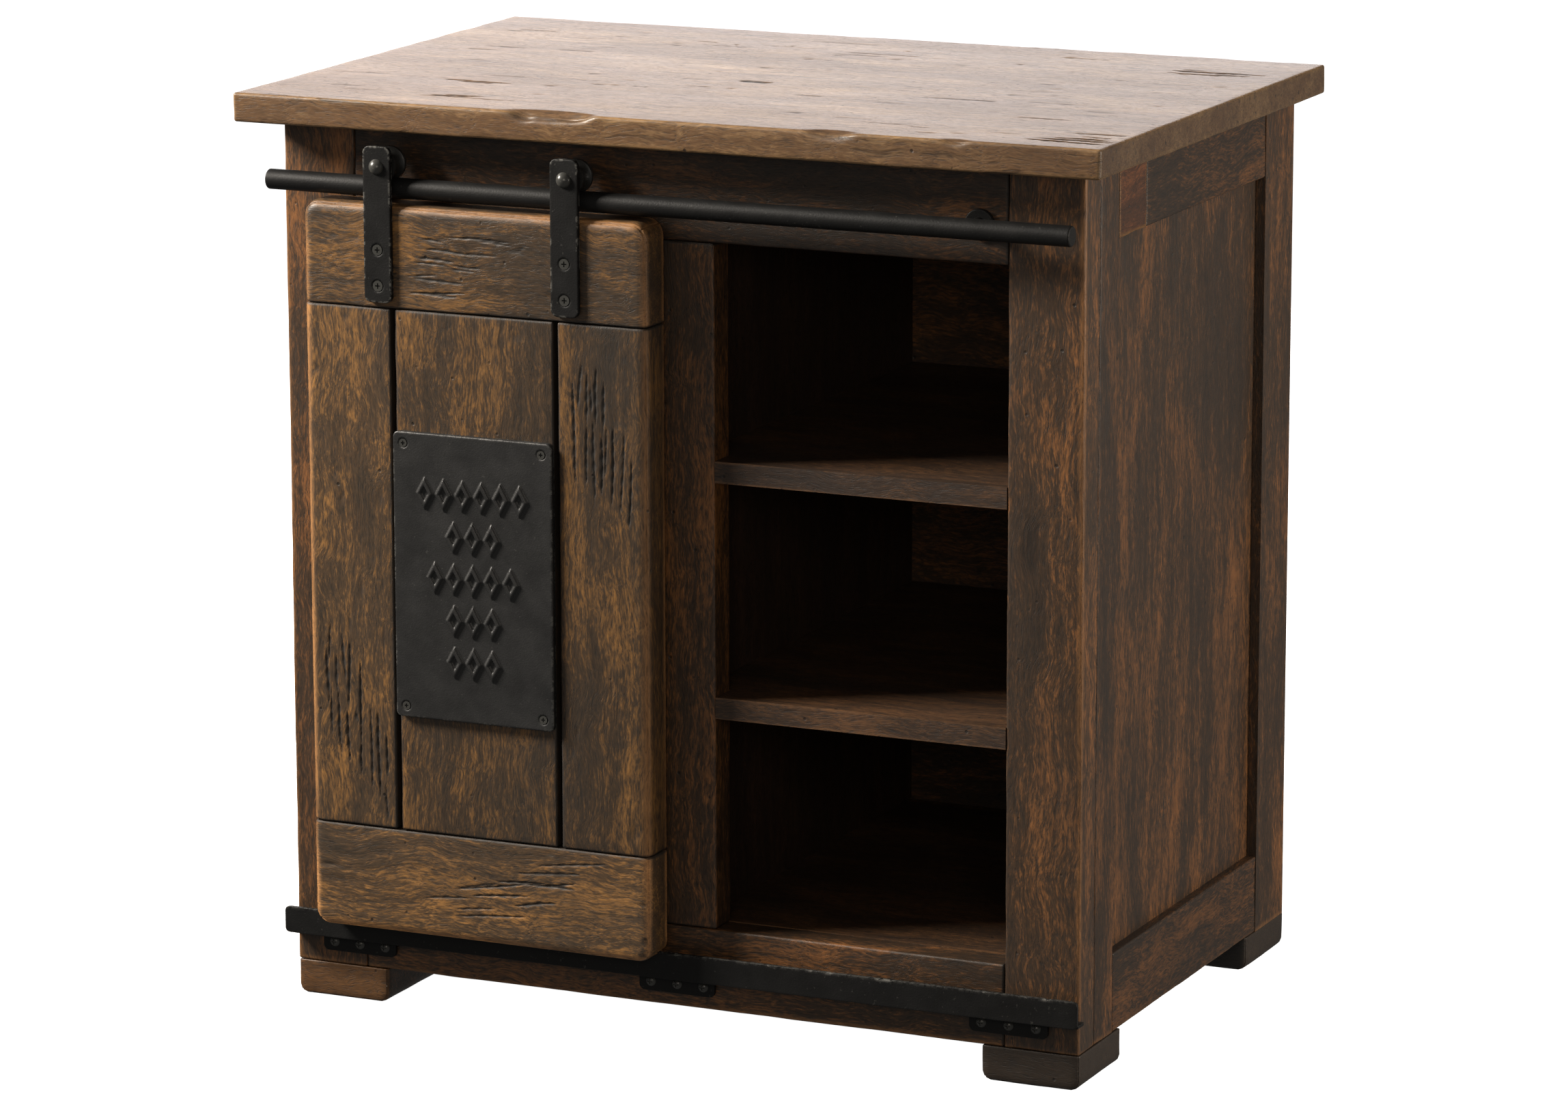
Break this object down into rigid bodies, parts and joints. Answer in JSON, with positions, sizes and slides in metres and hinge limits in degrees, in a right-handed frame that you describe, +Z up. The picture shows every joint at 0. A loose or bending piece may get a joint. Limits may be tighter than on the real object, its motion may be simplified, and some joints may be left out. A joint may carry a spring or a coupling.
{
  "type": "sideboard buffet",
  "caption": "Rustic wooden sideboard with open shelved compartments either side of a centre post and a thick plank door that slides on rollers along an iron rod.",
  "frame": {"origin": "on the floor, under the middle of the piece's overall width and depth", "axes": "+X to the right as seen from the front, +Y to the back, +Z up; the door's front faces -Y"},
  "size_m": [0.772, 0.529, 0.78],
  "materials": {
    "top_wood": "burnished, waxed, satin",
    "body_wood": "dark stained, satin",
    "inside_wood": "dark stained, matt",
    "foot_wood": "dark stained, satin",
    "patch_wood": "stained, satin",
    "door_wood": "burnished, distressed, satin",
    "black_iron": "black powder coat, fine texture",
    "cast_plate": "black painted casting",
    "screw_steel": "blackened steel",
    "roller_iron": "black, worn in the groove"
  },
  "bodies": {
    "cabinet": {"top_slab": "top_wood", "post_front_left": "body_wood", "post_front_right": "body_wood", "post_back_left": "body_wood", "post_back_right": "body_wood", "front_top_rail": "body_wood", "front_bottom_rail": "body_wood", "divider_post": "body_wood", "side_top_rail_left": "body_wood", "side_top_rail_right": "body_wood", "side_bottom_rail_left": "body_wood", "side_bottom_rail_right": "body_wood", "side_panel_left": "body_wood", "side_panel_right": "body_wood", "back_top_rail": "body_wood", "back_bottom_rail": "body_wood", "back_panel": "inside_wood", "partition_panel": "inside_wood", "floor_panel": "inside_wood", "floor_cleats": "inside_wood", "shelf_left_lower": "inside_wood", "shelf_left_upper": "inside_wood", "shelf_right_lower": "inside_wood", "shelf_right_upper": "inside_wood", "shelf_cleats": "inside_wood", "corner_blocks": "inside_wood", "foot_front_left": "foot_wood", "foot_front_right": "foot_wood", "foot_back_left": "foot_wood", "foot_back_right": "foot_wood", "side_patch_right": "patch_wood", "track_rod": "black_iron", "rod_standoff_left": "black_iron", "rod_standoff_right": "black_iron", "guide_bar": "black_iron", "guide_tab_left": "black_iron", "guide_tab_middle": "black_iron", "guide_tab_right": "black_iron", "corner_screws": "screw_steel", "foot_screws": "screw_steel", "standoff_dowel_screws": "screw_steel", "guide_screws": "screw_steel"},
    "door": {"door_top_board": "door_wood", "door_bottom_board": "door_wood", "door_plank_left": "door_wood", "door_plank_middle": "door_wood", "door_plank_right": "door_wood", "strap_left": "black_iron", "strap_right": "black_iron", "hanger_spacers": "black_iron", "strap_screws": "screw_steel", "plate_screws": "screw_steel", "hanger_bolts": "screw_steel", "hanger_nuts": "screw_steel", "plate": "cast_plate"},
    "roller_left": {"roller_left": "roller_iron"},
    "roller_right": {"roller_right": "roller_iron"}
  },
  "joints": [
    {"name": "door_slide", "type": "slide", "parent": "cabinet", "child": "door", "axis": [1, 0, 0], "range_m": [0, 0.328]},
    {"name": "roller_left_spin", "type": "hinge", "parent": "door", "child": "roller_left", "pos_m": [-0.2495, -0.2425, 0.727], "axis": [0, 1, 0], "range_deg": [0, 1800]},
    {"name": "roller_right_spin", "type": "hinge", "parent": "door", "child": "roller_right", "pos_m": [-0.0785, -0.2425, 0.727], "axis": [0, 1, 0], "range_deg": [0, 1800]}
  ],
  "couplings": [
    {"joint": "roller_left_spin", "follows": "door_slide", "rad_per_m": 95.238},
    {"joint": "roller_right_spin", "follows": "door_slide", "rad_per_m": 95.238}
  ]
}
